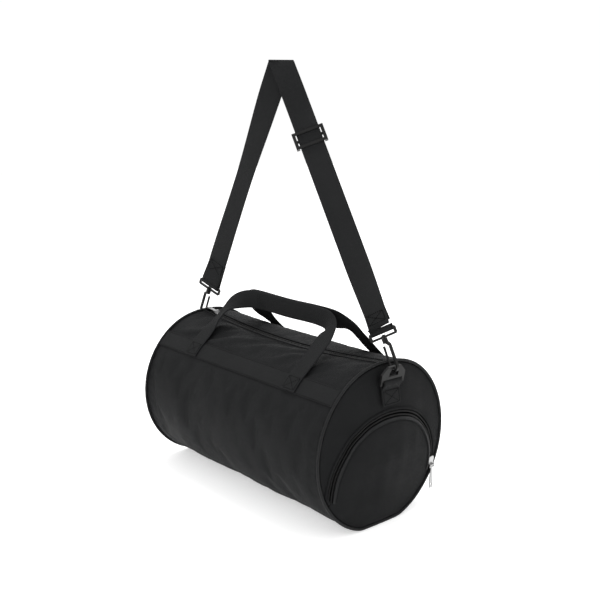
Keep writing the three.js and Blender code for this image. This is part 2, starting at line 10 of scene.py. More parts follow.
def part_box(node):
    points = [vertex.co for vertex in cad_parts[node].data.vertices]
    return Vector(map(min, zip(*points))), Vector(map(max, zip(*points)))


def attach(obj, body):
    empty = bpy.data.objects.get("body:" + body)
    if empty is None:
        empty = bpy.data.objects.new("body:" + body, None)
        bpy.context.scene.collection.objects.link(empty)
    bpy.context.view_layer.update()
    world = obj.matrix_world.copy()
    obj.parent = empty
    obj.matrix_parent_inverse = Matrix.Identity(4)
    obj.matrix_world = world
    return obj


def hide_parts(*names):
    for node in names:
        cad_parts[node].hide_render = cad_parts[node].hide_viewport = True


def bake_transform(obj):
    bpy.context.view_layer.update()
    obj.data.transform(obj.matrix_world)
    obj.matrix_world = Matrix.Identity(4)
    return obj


scene = bpy.context.scene
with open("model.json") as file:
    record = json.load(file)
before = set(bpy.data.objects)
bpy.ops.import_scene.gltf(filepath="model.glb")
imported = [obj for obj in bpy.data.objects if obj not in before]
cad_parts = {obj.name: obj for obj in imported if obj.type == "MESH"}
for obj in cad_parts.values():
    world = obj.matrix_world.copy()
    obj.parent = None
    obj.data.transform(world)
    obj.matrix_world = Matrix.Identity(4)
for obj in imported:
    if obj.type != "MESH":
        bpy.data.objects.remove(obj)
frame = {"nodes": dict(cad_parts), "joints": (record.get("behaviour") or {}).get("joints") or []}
nodes = frame["nodes"]
joints = {j["name"]: j for j in frame["joints"]}
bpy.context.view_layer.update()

# Everything below is worked out in millimetres and put into meshes in metres.
MM = 0.001


def box_mm(node):
    """A CAD node's lowest and highest corner in millimetres."""
    low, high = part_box(node)
    return np.array(low) / MM, np.array(high) / MM


shell_high = box_mm("body_shell")[1]
HALF_LENGTH = shell_high[0]
BODY_A = shell_high[1]          # half width of the barrel
BODY_ZC = 127.0                 # height of the barrel's axis
BODY_B = 130.0                  # half height of the barrel
SAG_MID = 17.0                  # how far the zip sags at mid-length
SAG_REACH = 85.0                # and how far the sag reaches to each side of it
ZIP_ARC_R = 1672.0              # the main zip sags along an arc of this radius
SLOT_HALF = 8.0                 # half the opening along the zip
FABRIC_T = 1.3
END_X = 218.5                   # where the end discs meet the piping
DOME_FRONT = 17.0               # how far each end disc bulges
DOME_REAR = 10.0
PIPING_R = 2.3
RIM_INSET = 2.6                 # from the barrel's surface in to the edge of a disc
ARCH_Z = 70.0                   # centre height and radius of the pocket's zip
ARCH_R = 108.0
FOLD_Z = 62.0                   # the pocket's front folds down about this height
BAND_FROM = 130.0               # the front band, in degrees round the barrel
BAND_TO = 143.0
WEB = 1.6                       # thickness of the bands
FOOT_X = 123.0                  # where the handles are sewn on
HANDLE_W = 30.0
HANDLE_T = 2.0
STRAP_W = 38.0
STRAP_T = 1.5
X = np.array([1.0, 0.0, 0.0])
Y = np.array([0.0, 1.0, 0.0])
Z = np.array([0.0, 0.0, 1.0])

# ------------------------------------------------------------------ camera

# Where the camera stands, in metres, and the way back to it from what it looks at.
EYE = Vector((1.089, -0.955, 0.621))
BACK = Vector((0.7262, -0.6545, 0.2105)).normalized()
LENS = 54.94            # on a sensor 36 mm wide
ROLL = math.radians(1.08)

level = Vector((0, 0, 1)).cross(BACK).normalized()
upright = BACK.cross(level)
right = level * math.cos(ROLL) + upright * math.sin(ROLL)
above = upright * math.cos(ROLL) - level * math.sin(ROLL)
camera_data = bpy.data.cameras.new("camera")
camera_data.sensor_width = 36
camera_data.lens = LENS
camera = bpy.data.objects.new("camera", camera_data)
camera.matrix_world = Matrix((
    (right.x, above.x, BACK.x, EYE.x),
    (right.y, above.y, BACK.y, EYE.y),
    (right.z, above.z, BACK.z, EYE.z),
    (0, 0, 0, 1),
))
scene.collection.objects.link(camera)
scene.camera = camera

# ------------------------------------------------------------------ materials


def srgb(grey):
    return ((grey + 0.055) / 1.055) ** 2.4 if grey > 0.04 else grey / 12.92


def fill(node, inputs):
    """Set a node's sockets, which are named in inputs."""
    for socket, value in inputs.items():
        node.inputs[socket].default_value = value


class Nodes:
    """A material's node tree, with the principled shader already in it."""

    def __init__(self, name, roughness, metallic=0.0, sheen=0.0, gloss=0.5):
        self.material = bpy.data.materials.new(name)
        self.material.use_nodes = True
        self.tree = self.material.node_tree
        self.shader = self.tree.nodes["Principled BSDF"]
        fill(self.shader, {"Roughness": roughness, "Metallic": metallic, "Sheen Weight": sheen,
                           "Sheen Roughness": 0.45, "Specular IOR Level": gloss})

    def new(self, kind, inputs=(), **options):
        node = self.tree.nodes.new(kind)
        for key, value in options.items():
            setattr(node, key, value)
        fill(node, dict(inputs))
        return node

    def link(self, out, into):
        self.tree.links.new(out, into)

    def noise(self, vector, scale, detail):
        node = self.new("ShaderNodeTexNoise", {"Scale": scale, "Detail": detail})
        self.link(vector, node.inputs["Vector"])
        return node.outputs["Fac"]

    def math(self, operation, a, b):
        node = self.new("ShaderNodeMath", operation=operation)
        for socket, value in zip(node.inputs, (a, b)):
            if isinstance(value, (int, float)):
                socket.default_value = value
            else:
                self.link(value, socket)
        return node.outputs[0]

    def span(self, value, low, high):
        """A noise's usual range spread from low to high."""
        ends = {"From Min": 0.3, "From Max": 0.7, "To Min": low, "To Max": high}
        node = self.new("ShaderNodeMapRange", ends)
        self.link(value, node.inputs["Value"])
        return node.outputs[0]

    def colour(self, factor, dark, light):
        node = self.new("ShaderNodeMix", {6: (*dark, 1), 7: (*light, 1)}, data_type="RGBA")
        self.link(factor, node.inputs[0])
        self.link(node.outputs[2], self.shader.inputs["Base Color"])

    def bump(self, heights):
        """heights: (height output, distance in metres) from the coarsest to the finest."""
        normal = None
        for height, distance in heights:
            node = self.new("ShaderNodeBump", {"Distance": distance})
            self.link(height, node.inputs["Height"])
            if normal is not None:
                self.link(normal, node.inputs["Normal"])
            normal = node.outputs["Normal"]
        self.link(normal, self.shader.inputs["Normal"])


def woven(name, tone, roughness, thread, rib=1.0, sheen=0.02, depth=0.00012, gloss=0.12):
    """Plain weave: checks of warp and weft threads. thread is a thread's width in millimetres,
    rib how much wider the weft is than the warp and depth how far the threads stand out, in metres."""
    n = Nodes(name, roughness, sheen=sheen, gloss=gloss)
    coords = n.new("ShaderNodeTexCoord")
    stretch = n.new("ShaderNodeMapping", {"Scale": (1 / (thread * MM), 1 / (thread * rib * MM), 1)})
    n.link(coords.outputs["UV"], stretch.inputs["Vector"])
    check = n.new("ShaderNodeTexChecker", {"Scale": 1.0})
    n.link(stretch.outputs[0], check.inputs["Vector"])
    waves = []
    for axis in ("X", "Y"):
        wave = n.new("ShaderNodeTexWave", {"Scale": math.pi / 10}, bands_direction=axis)
        n.link(stretch.outputs[0], wave.inputs["Vector"])
        waves.append(wave.outputs["Fac"])
    over = n.math("MULTIPLY", waves[0], check.outputs["Fac"])
    under = n.math("MULTIPLY", waves[1], n.math("SUBTRACT", 1.0, check.outputs["Fac"]))
    weave = n.math("ADD", over, under)
    grain = n.noise(coords.outputs["Object"], 420, 2)
    patches = n.noise(coords.outputs["Object"], 16, 4)
    mottle = n.math("ADD", n.math("MULTIPLY", grain, 0.55), n.math("MULTIPLY", patches, 0.45))
    shade = n.math("ADD", n.math("MULTIPLY", n.span(mottle, 0, 1), 0.7), n.math("MULTIPLY", weave, 0.3))
    cool = (0.97, 1.0, 1.04)
    n.colour(shade, [tone * 0.75 * c for c in cool], [tone * 1.25 * c for c in cool])
    n.link(n.span(grain, roughness - 0.07, roughness + 0.07), n.shader.inputs["Roughness"])
    n.bump([(grain, 0.0003), (weave, depth)])
    return n.material


def moulded(name, tone, roughness, metallic=0.0, brushed=1.0, edge_highlight=0.0, gloss=0.5):
    """Moulded plastic, nylon or metal: fine grain, drawn out where it is brushed, and a painted
    highlight: edges painted lighter."""
    n = Nodes(name, roughness, metallic=metallic, gloss=gloss)
    coords = n.new("ShaderNodeTexCoord")
    stretch = n.new("ShaderNodeMapping", {"Scale": (1, brushed, 1)})
    n.link(coords.outputs["Object"], stretch.inputs["Vector"])
    grain = n.noise(stretch.outputs[0], 900, 2)
    patches = n.noise(coords.outputs["Object"], 60, 3)
    # Painted highlight: sharp edges, found by their pointiness, are painted lighter.
    geometry = n.new("ShaderNodeNewGeometry")
    edge = n.new("ShaderNodeMapRange", {"From Min": 0.52, "From Max": 0.62})
    n.link(geometry.outputs["Pointiness"], edge.inputs["Value"])
    painted_highlight = n.math("MULTIPLY", edge.outputs[0], edge_highlight)
    shade = n.math("ADD", n.math("MULTIPLY", n.span(patches, 0, 1), 0.5), painted_highlight)
    n.colour(shade, [tone * 0.85] * 3, [min(1, tone * 1.35)] * 3)
    n.link(n.span(patches, roughness - 0.05, roughness + 0.08), n.shader.inputs["Roughness"])
    n.bump([(grain, 0.00004)])
    return n.material


FABRIC = woven("coated_polyester", srgb(0.106), 0.6, 0.45, sheen=0.003, gloss=0.05)
END_FABRIC = woven("coated_polyester_end", srgb(0.1), 0.6, 0.45, sheen=0.003, gloss=0.04)
WEBBING = woven("band_webbing", srgb(0.108), 0.75, 0.7, rib=2.2, sheen=0.006, depth=0.0003, gloss=0.1)
STRAP_WEBBING = woven("strap_webbing_weave", srgb(0.112), 0.72, 0.75, rib=2.4, sheen=0.006, depth=0.00035)
PIPING = woven("piping_cover", srgb(0.105), 0.48, 0.4, sheen=0.004, gloss=0.12)
TAPE = woven("zip_tape_weave", srgb(0.06), 0.8, 0.4, sheen=0.0, gloss=0.06)
LINING = woven("coated_lining", srgb(0.15), 0.6, 0.5)
# Dark thread: partly its own colour, partly painted shade of the groove the stitches sink into.
THREAD_AND_GROOVE_SHADE = woven("sewing_thread_and_groove_shade", srgb(0.03), 0.8, 0.2, gloss=0.03)
NYLON = moulded("zip_nylon", srgb(0.09), 0.42, gloss=0.2)
# Painted highlight: the hook plastic's edges are painted lighter.
PLASTIC = moulded("hook_plastic", srgb(0.075), 0.36, edge_highlight=0.3, gloss=0.16)
BOARD = moulded("board_plastic", srgb(0.12), 0.55)
# Painted highlight: the nickel's edges are painted lighter.
NICKEL = moulded("satin_nickel", srgb(0.66), 0.3, metallic=1.0, brushed=6, edge_highlight=0.3)

# ------------------------------------------------------------------ mesh tools


def piece(name, points, faces, material, uv=None):
    """A mesh object from points in millimetres, with a UV per point in millimetres."""
    mesh = bpy.data.meshes.new(name)
    points = np.asarray(points)
    mesh.from_pydata((points * MM).tolist(), [], faces)
    if uv is None:
        uv = points[:, [0, 2]]
    layer = mesh.uv_layers.new(name="weave")
    corners = np.array([loop.vertex_index for loop in mesh.loops])
    layer.data.foreach_set("uv", (np.asarray(uv)[corners] * MM).astype(np.float32).ravel())
    mesh.materials.append(material)
    mesh.polygons.foreach_set("use_smooth", [True] * len(mesh.polygons))
    mesh.update()
    made = bpy.data.objects.new(name, mesh)
    scene.collection.objects.link(made)
    return made


def sheet_faces(rows, cols, wrap=False, flip=False):
    """Quads between the points of a grid. wrap joins its last column to its first."""
    last = cols if wrap else cols - 1
    faces = []
    for i in range(rows - 1):
        for j in range(last):
            k = (j + 1) % cols
            quad = [i * cols + j, i * cols + k, (i + 1) * cols + k, (i + 1) * cols + j]
            faces.append(quad[::-1] if flip else quad)
    return faces


def cloth_piece(name, grid, material, thickness, uv=None, wrap=False, flip=False):
    """A single layer of fabric from a grid of points, made thick on its inner side."""
    rows, cols = grid.shape[:2]
    flat_uv = None if uv is None else uv.reshape(-1, 2)
    faces = sheet_faces(rows, cols, wrap, flip)
    made = piece(name, grid.reshape(-1, 3), faces, material, flat_uv)
    solid = made.modifiers.new("thickness", "SOLIDIFY")
    solid.thickness = thickness * MM
    solid.offset = -1
    finer = made.modifiers.new("finer", "SUBSURF")
    finer.levels = 1
    finer.render_levels = 1
    return made


def unit(v):
    v = np.asarray(v, float)
    return v / np.linalg.norm(v, axis=-1, keepdims=True)


def distances(line):
    """How far along a line of points each of them is."""
    return np.concatenate([[0], np.cumsum(np.linalg.norm(np.diff(line, axis=0), axis=1))])


def ribbon(name, centres, across, width, thickness, material, shift=None):
    """Webbing along a centre line with rounded edges. across holds its width direction and
    shift, where given, moves a point at (row, place across) along the centre line."""
    centres = np.asarray(centres, float)
    tangent = unit(np.gradient(centres, axis=0))
    w = np.asarray(across, float)
    w = unit(w - (w * tangent).sum(1, keepdims=True) * tangent)
    n = np.cross(tangent, w)
    half_w, half_t = width / 2, thickness / 2
    lanes = np.array([-1, -0.8, -0.4, 0, 0.4, 0.8, 1]) * (half_w - half_t * 0.7)
    profile = [(a, half_t) for a in lanes] + [(half_w, half_t * 0.35), (half_w, -half_t * 0.35)]
    profile += [(a, -half_t) for a in lanes[::-1]] + [(-half_w, -half_t * 0.35), (-half_w, half_t * 0.35)]
    profile = np.array(profile)
    points = (centres[:, None] + w[:, None] * profile[None, :, :1] + n[:, None] * profile[None, :, 1:])
    if shift is not None:
        points = points + shift(np.arange(len(centres))[:, None], profile[None, :, 0])
    rows, cols = points.shape[:2]
    faces = sheet_faces(rows, cols, wrap=True)
    faces.append(list(range(cols))[::-1])
    faces.append([(rows - 1) * cols + j for j in range(cols)])
    run = distances(centres)
    uv = np.stack([np.broadcast_to(profile[None, :, 0], (rows, cols)),
                   np.broadcast_to(run[:, None], (rows, cols))], axis=-1)
    return piece(name, points.reshape(-1, 3), faces, material, uv.reshape(-1, 2))


def smooth_path(stops, count, partners=None):
    """A curve through the stops. Its knots go by the square root of the chords, so stops that lie
    close together make no loops. Partners are values at the stops, carried along in step."""
    p = np.asarray(stops, float)
    knots = np.concatenate([[0], np.cumsum(np.sqrt(np.linalg.norm(np.diff(p, axis=0), axis=1)))])
    at = np.linspace(0, knots[-1], count)
    i = np.clip(np.searchsorted(knots, at, side="right") - 1, 0, len(p) - 2)
    h = np.diff(knots)[i][:, None]
    f = (at - knots[i])[:, None] / h
    curves = []
    for q in (p, partners):
        if q is None:
            continue
        q = np.asarray(q, float)
        slope = np.gradient(q, knots, axis=0)
        curves.append((2 * f ** 3 - 3 * f ** 2 + 1) * q[i] + (f ** 3 - 2 * f ** 2 + f) * h * slope[i]
                      + (3 * f ** 2 - 2 * f ** 3) * q[i + 1] + (f ** 3 - f ** 2) * h * slope[i + 1])
    return curves[0] if partners is None else curves


class Thread:
    """Sewn stitches, gathered into one mesh. Their dark colour is partly the thread's own and partly painted
    shade of the groove they sink into.
    """

    LENGTH = 2.4
    GAP = 0.9

    def __init__(self):
        self.points, self.faces = [], []

    def run(self, path, normals, width=0.7, height=0.32):
        """A row of stitches along a path: each is a small ridge that sinks in at both ends."""
        path, normals = np.asarray(path, float), np.asarray(normals, float)
        lengths = distances(path)
        pitch = self.LENGTH + self.GAP
        for start in np.arange(0.3, lengths[-1] - self.LENGTH, pitch):
            ends = [np.array([np.interp(s, lengths, path[:, k]) for k in range(3)])
                    for s in (start, start + self.LENGTH)]
            n = unit([np.interp(start, lengths, normals[:, k]) for k in range(3)])
            along = unit(ends[1] - ends[0])
            side = np.cross(along, n)
            first = len(self.points)
            middle = (ends[0] + ends[1]) / 2
            for end, sign in ((ends[0], 1), (ends[1], -1)):
                q = end + along * sign * 0.25
                self.points += [end - n * 0.1, q + side * width * 0.4, q + n * height * 0.8,
                                q - side * width * 0.4]
            self.points += [middle + side * width / 2, middle + n * height, middle - side * width / 2]
            a, b, m = first, first + 4, first + 8
            self.faces += [[a, a + 1, a + 2], [a, a + 2, a + 3],
                           [a + 1, m, m + 1, a + 2], [a + 2, m + 1, m + 2, a + 3],
                           [m, b + 1, b + 2, m + 1], [m + 1, b + 2, b + 3, m + 2],
                           [b, b + 2, b + 1], [b, b + 3, b + 2]]

    def box_with_cross(self, place, half_u, half_v):
        """A sewn box with a cross in it. place(u, v) gives a point and its normal."""
        corners = [(-1, -1), (1, -1), (1, 1), (-1, 1), (-1, -1), (1, 1), (1, -1), (-1, 1)]
        for (u0, v0), (u1, v1) in zip(corners, corners[1:]):
            steps = np.linspace(0, 1, 8)
            spots = [place((u0 + (u1 - u0) * s) * half_u, (v0 + (v1 - v0) * s) * half_v) for s in steps]
            # Drawn wide so that the dark thread also stands for painted shade of the sewn groove.
            self.run([p for p, _ in spots], [n for _, n in spots], width=1.3)

    def finish(self, name):
        return piece(name, self.points, self.faces, THREAD_AND_GROOVE_SHADE)


def put(made, body, slot, *stands_for):
    """The piece rides on a body and stands for CAD nodes, which it hides. slot is not used."""
    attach(made, body)
    if stands_for:
        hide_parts(*stands_for)
    return made


# ------------------------------------------------------------------ barrel surface


def angle_at(y, off=0.0):
    """The angle round the barrel, in degrees, of a point on its upper half at y."""
    return np.degrees(np.arccos(np.clip(y / (BODY_A + off), -1, 1)))


SLOT_ANGLE = angle_at(SLOT_HALF)
LANDING = 2.2           # how softly the round underside meets the flat it rests on
WAVES = 7


def wave_sum(a, b, seed, scale):
    """Smooth repeatable unevenness from a few crossing waves, about -1 to 1."""
    rng = np.random.default_rng(seed)
    total = 0
    for _ in range(WAVES):
        turn, phase, size = rng.uniform(0, np.pi), rng.uniform(0, 2 * np.pi), rng.uniform(0.6, 1.6)
        total = total + np.sin((a * np.cos(turn) + b * np.sin(turn)) * size * 2 * np.pi / scale + phase)
    return total / np.sqrt(WAVES)


def hill(value, centre, width):
    return np.exp(-((value - centre) / width) ** 2)


def relief(x, degrees):
    """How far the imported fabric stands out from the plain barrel."""
    side = np.where(degrees < 90, 180 - degrees, degrees)          # front and back alike
    s = np.radians(side - 90) * BODY_A                             # arc from the crown
    seed = np.where(degrees < 90, 900.0, 0.0)                      # but with other folds
    top = np.clip((s - 9) / 14, 0, 1) * np.clip((92 - s) / 12, 0, 1)
    rim = np.clip((HALF_LENGTH - np.abs(x)) / 22, 0, 1)
    rise = 0.0
    # Folds that spread from the handle feet towards the zip and the rim.
    band_s = np.radians(BAND_FROM - 90) * BODY_A
    for foot, depth, turn in ((-FOOT_X, 4.2, 0.5), (FOOT_X, 2.0, 2.2)):
        u, v = x - foot, band_s - s
        r = np.hypot(u, v)
        phi = np.arctan2(v, u)
        fan = np.sin(phi * 5.0 + turn + 0.3 * np.sin(r / 17) + seed) * np.abs(np.sin(phi * 2.5 + turn))
        rise = rise + depth * fan * hill(r, 42, 34) * top
    # Long slanting folds between the feet and the zip.
    slant = x * 0.62 + s + 9 * wave_sum(x, s, 3, 150) + seed
    rise = rise + 1.5 * np.sin(slant * 2 * np.pi / 47) * top * rim * (0.55 + 0.45 * wave_sum(x, s, 5, 190))
    # Shallow drapes that hang from the band and fade out down the side.
    below = np.clip((s - 122) / 8, 0, 1) * np.exp(-np.clip(s - 122, 0, None) / 85)
    drape = np.sin(x * 2 * np.pi / 61 + 3.4 * wave_sum(x, s, 8, 210))
    rise = rise + 0.4 * below * drape * (0.6 + 0.4 * wave_sum(x, s, 9, 240)) * rim
    # Puckers where the fabric is gathered into the piping.
    edge = np.exp(-(HALF_LENGTH - np.abs(x)) / 9)
    rise = rise + 0.55 * edge * np.sin(s * 2 * np.pi / 15 + 2 * wave_sum(x, s, 11, 60))
    # Slack everywhere but at the zip and the band, fading out on the underside.
    free = np.clip((s - 12) / 12, 0, 1) * np.clip(np.abs(s - 106) / 14 - 0.85, 0, 1)
    rise = rise + (1.2 * wave_sum(x, s + seed, 14, 170) + 0.3 * wave_sum(x, s + seed, 17, 48)) * free * rim
    return np.where(np.asarray(side) < 235, rise, rise * np.clip((250 - side) / 15, 0, 1))


def section(x, degrees, off=0.0, floor=None, folds=True):
    """A point of the barrel at x and an angle, off millimetres out of the fabric."""
    x, degrees = np.broadcast_arrays(np.asarray(x, float), np.asarray(degrees, float))
    floor = -off if floor is None else floor
    off = off + (relief(x, degrees) if folds else 0.0)
    phi = np.radians(degrees)
    y = (BODY_A + off) * np.cos(phi)
    z = BODY_ZC + (BODY_B + off) * np.sin(phi)
    sag = (SAG_MID - x * x / (2 * ZIP_ARC_R)) * np.cos(np.pi * y / (2 * SAG_REACH)) ** 2
    z = z - np.where((np.sin(phi) > 0) & (np.abs(y) < SAG_REACH), sag, 0.0)
    over = z - floor
    return np.stack([x, y, floor + (over + np.sqrt(over ** 2 + LANDING ** 2)) / 2], axis=-1)


def outward(x, degrees):
    """The barrel's normal there."""
    along = section(x + 0.5, degrees) - section(x - 0.5, degrees)
    round_ = section(x, degrees + 0.3) - section(x, degrees - 0.3)
    return unit(np.cross(round_, along))


def skin_grid(x_range, deg_range, counts, off):
    """Places along and round the barrel, and the points of its surface there."""
    xs, degs = np.linspace(*x_range, counts[0]), np.linspace(*deg_range, counts[1])
    gx, gd = np.meshgrid(xs, degs, indexing="ij")
    return gx, gd, section(gx, gd, off)


def skin_piece(name, x_range, deg_range, counts, off, material, thickness):
    gx, gd, grid = skin_grid(x_range, deg_range, counts, off)
    uv = np.stack([gx, np.radians(gd) * BODY_A], axis=-1)
    return cloth_piece(name, grid, material, thickness, uv=uv)


SETTLE_FRAMES = 16
SETTLE_MOST = 1.8       # millimetres a point may move


def settle(grid, pinned):
    """How far each point of a panel moves when it is simulated as cloth between its seams."""
    rows, cols = grid.shape[:2]
    trial = piece("settling", grid.reshape(-1, 3), sheet_faces(rows, cols), FABRIC)
    trial.vertex_groups.new(name="sewn").add(np.flatnonzero(pinned.ravel()).tolist(), 1.0, "REPLACE")
    cloth = trial.modifiers.new("cloth", "CLOTH")
    settings = cloth.settings
    settings.quality = 6
    settings.mass = 0.15
    settings.tension_stiffness = 14
    settings.compression_stiffness = 14
    settings.shear_stiffness = 5
    settings.bending_stiffness = 0.4
    settings.vertex_group_mass = "sewn"
    settings.shrink_min = -0.006            # cut a little larger than its place
    settings.use_pressure = True
    settings.uniform_pressure_force = 1.2
    settings.effector_weights.gravity = 0
    cloth.point_cache.frame_start = 1
    cloth.point_cache.frame_end = SETTLE_FRAMES
    for number in range(1, SETTLE_FRAMES + 1):
        scene.frame_set(number)
    settled = trial.evaluated_get(bpy.context.evaluated_depsgraph_get()).data
    spots = np.empty(rows * cols * 3, np.float32)
    settled.vertices.foreach_get("co", spots)
    moved = spots.reshape(rows, cols, 3) / MM - grid
    bpy.data.objects.remove(trial)
    scene.frame_set(1)
    far = np.linalg.norm(moved, axis=-1, keepdims=True)
    moved = moved * (SETTLE_MOST * np.tanh(far / SETTLE_MOST) / np.maximum(far, 1e-6))
    return moved


def resample(field, counts):
    """The same field on a finer grid, eased from each point to the next."""
    for axis, count in enumerate(counts):
        old, new = np.linspace(0, 1, field.shape[axis]), np.linspace(0, 1, count)
        field = np.moveaxis(field, axis, 0)
        low = np.clip((new * (len(old) - 1)).astype(int), 0, len(old) - 2)
        f = (new * (len(old) - 1) - low).reshape(-1, 1, 1)
        f = f * f * (3 - 2 * f)
        field = np.moveaxis(field[low] * (1 - f) + field[low + 1] * f, 0, axis)
    return field


BARREL_GRID = (150, 230)
COARSE_GRID = (90, 130)
barrel_span = ((-HALF_LENGTH, HALF_LENGTH), (180 - SLOT_ANGLE, SLOT_ANGLE + 360))
gx, gd, grid = skin_grid(*barrel_span, BARREL_GRID, 0.0)
cx, cd, coarse = skin_grid(*barrel_span, COARSE_GRID, 0.0)
band_middle = (BAND_FROM + BAND_TO) / 2
to_band = np.minimum(np.abs(cd % 360 - band_middle), np.abs(cd % 360 - (180 - band_middle)))
at_zip = (cd < cd.min() + 4) | (cd > cd.max() - 4)
at_rim = np.abs(cx) > HALF_LENGTH - 3
on_floor = coarse[..., 2] < 4
sewn = at_rim | (to_band < 9) | at_zip | on_floor
grid = grid + resample(settle(coarse, sewn), BARREL_GRID)
grid[..., 2] = np.maximum(grid[..., 2], 0)
barrel_uv = np.stack([gx, np.radians(gd) * BODY_A], axis=-1)
barrel = cloth_piece("barrel_fabric", grid, FABRIC, FABRIC_T, uv=barrel_uv)
put(barrel, "bag", "fabric", "body_shell")

# ------------------------------------------------------------------ bands and main zip


def band_angles(side):
    return (BAND_FROM, BAND_TO) if side == "front" else (180 - BAND_TO, 180 - BAND_FROM)


def surface_ribbon(name, xs, degs, off, width, thickness, material):
    """A ribbon laid along the barrel, its width running round it."""
    across = section(xs, degs + 1, off) - section(xs, degs - 1, off)
    return ribbon(name, section(xs, degs, off), across, width, thickness, material)


MAIN_TAPE_OFF = -2.1    # how far under the fabric the main zip's tapes lie
bag_thread = Thread()

for side in ("front", "back"):
    low, high = band_angles(side)
    xs = np.linspace(-HALF_LENGTH, HALF_LENGTH, 150)
    gx, gd = np.meshgrid(xs, np.linspace(low, high, 9), indexing="ij")
    uv = np.stack([np.radians(gd) * BODY_A, gx], axis=-1)
    grid = section(gx, gd, WEB + 0.3)
    band = cloth_piece(f"band_{side}_webbing", grid, WEBBING, WEB, uv=uv)
    put(band, "bag", "webbing", f"band_{side}")
    for edge in (low + 0.9, high - 0.9):
        xs = np.linspace(-213, 213, 160)
        bag_thread.run(section(xs, edge, WEB + 0.4), outward(xs, edge))

for side, sign in (("front", -1), ("back", 1)):
    xs = np.linspace(-212, 212, 110)
    ys = sign * np.linspace(1.9, 14, 5)
    gx, gy = np.meshgrid(xs, ys, indexing="ij")
    grid = section(gx, angle_at(gy, MAIN_TAPE_OFF), MAIN_TAPE_OFF, folds=False)
    uv = np.stack([gy, gx], axis=-1)
    tape = cloth_piece(f"zip_tape_{side}_cloth", grid, TAPE, 0.7, uv=uv, flip=sign > 0)
    put(tape, "bag", "zip_tape", f"zip_tape_{side}")
    # The fabric turned under along the zip.
    xs = np.linspace(-HALF_LENGTH, HALF_LENGTH, 150)
    hem_angle = angle_at(sign * (SLOT_HALF + 1.2))
    put(surface_ribbon(f"zip_hem_{side}", xs, hem_angle, 0.45, 4.2, 1.5, FABRIC), "bag", "fabric")
    for inset in (2.6, 7.5):
        degs = angle_at(sign * (SLOT_HALF + inset))
        bag_thread.run(section(xs, degs, 1.15 if inset < 3 else 0.1), outward(xs, degs), width=0.6)


TOOTH_PITCH = 1.9
TOOTH_R = 0.72


def teeth(name, spots, across, normals, length):
    """A row of nylon zip teeth: rounded bars lying across the zip."""
    points, faces = [], []
    turns = np.radians(np.arange(0, 360, 60))
    for p, a, n in zip(spots, unit(across), unit(normals)):
        b = np.cross(a, n)
        first = len(points)
        for place, size in ((-0.5, 0.55), (-0.36, 1), (0.36, 1), (0.5, 0.55)):
            for t in turns:
                points.append(p + a * place * length + (b * np.cos(t) + n * np.sin(t)) * TOOTH_R * size)
        for ring in range(3):
            for j in range(6):
                k = (j + 1) % 6
                q = first + ring * 6
                faces.append([q + j, q + k, q + 6 + k, q + 6 + j])
        faces.append([first + j for j in range(6)][::-1])
        faces.append([first + 18 + j for j in range(6)])
    return piece(name, points, faces, NYLON)


for side, sign in (("front", -1), ("back", 1)):
    xs = np.arange(-207, 207, TOOTH_PITCH) + (0 if sign > 0 else TOOTH_PITCH / 2)
    ys = sign * 2.9
    spots = section(xs, angle_at(ys), -0.5, folds=False)
    row = teeth(f"zip_teeth_{side}", spots, np.broadcast_to(Y, spots.shape),
                np.broadcast_to(Z, spots.shape), 2.9)
    put(row, "bag", "zip_coil", f"zip_coil_{side}")

# ------------------------------------------------------------------ rims


def rim_tube(name, at, off, half_x, half_off, floor, material):
    """A tube all round the barrel, at a place along it and off the fabric. half_x and half_off are
    its half sizes along the barrel and away from it, and floor the lowest its centre may be."""
    degs = np.linspace(0, 360, 300, endpoint=False)
    turn = np.radians(np.linspace(0, 360, 12, endpoint=False))
    centre = section(at, degs, off, floor=floor, folds=False)
    a = np.radians(degs)
    out = np.stack([np.zeros_like(a), np.cos(a), np.sin(a)], axis=-1)
    swell = half_off - 0.05 + 0.07 * np.sin(a * 61) + 0.05 * np.sin(a * 37)
    grid = (centre[:, None] + out[:, None] * np.cos(turn)[None, :, None] * swell[:, None, None]
            + X * np.sin(turn)[None, :, None] * half_x)
    grid[..., 2] = np.maximum(grid[..., 2], 0)
    rows, cols = grid.shape[:2]
    faces = [[i * cols + j, i * cols + (j + 1) % cols, (i + 1) % rows * cols + (j + 1) % cols,
              (i + 1) % rows * cols + j] for i in range(rows) for j in range(cols)]
    uv = np.stack(np.meshgrid(a * BODY_A, turn * half_off, indexing="ij"), axis=-1)
    return piece(name, grid.reshape(-1, 3), faces, material, uv.reshape(-1, 2))


for end, sign in (("front", 1), ("rear", -1)):
    piping = rim_tube(f"piping_{end}_cord", sign * (END_X + 0.5), 1.0, 2.0, PIPING_R, PIPING_R, PIPING)
    put(piping, "bag", "piping", f"piping_{end}")
    # The gathered seam between the barrel and the disc, in the groove inside the piping.
    put(rim_tube(f"piping_{end}_seam", sign * 217.6, -1.7, 1.5, 1.35, 1.9, TAPE), "bag", "piping")
    # Seam allowance bound inside the barrel.
    binding = skin_piece(f"seam_binding_{end}_tape", (sign * 205.5, sign * 214), (82, -262), (3, 120),
                         -2.7, LINING, 1.0)
    put(binding, "bag", "lining", f"seam_binding_{end}")
    # The barrel's own hem beside the piping.
    degs = np.linspace(180 - SLOT_ANGLE + 1, SLOT_ANGLE + 359, 240)
    xs = np.full_like(degs, sign * 212.5)
    bag_thread.run(section(xs, degs, 0.1), outward(xs, degs), width=0.5, height=0.2)

# ------------------------------------------------------------------ end discs


def bulge(height, y, z):
    """How far a disc that bulges by height at its middle stands out at y, z."""
    return height * np.maximum(0, 1 - (y / BODY_A) ** 2 - ((z - BODY_ZC) / BODY_B) ** 2)


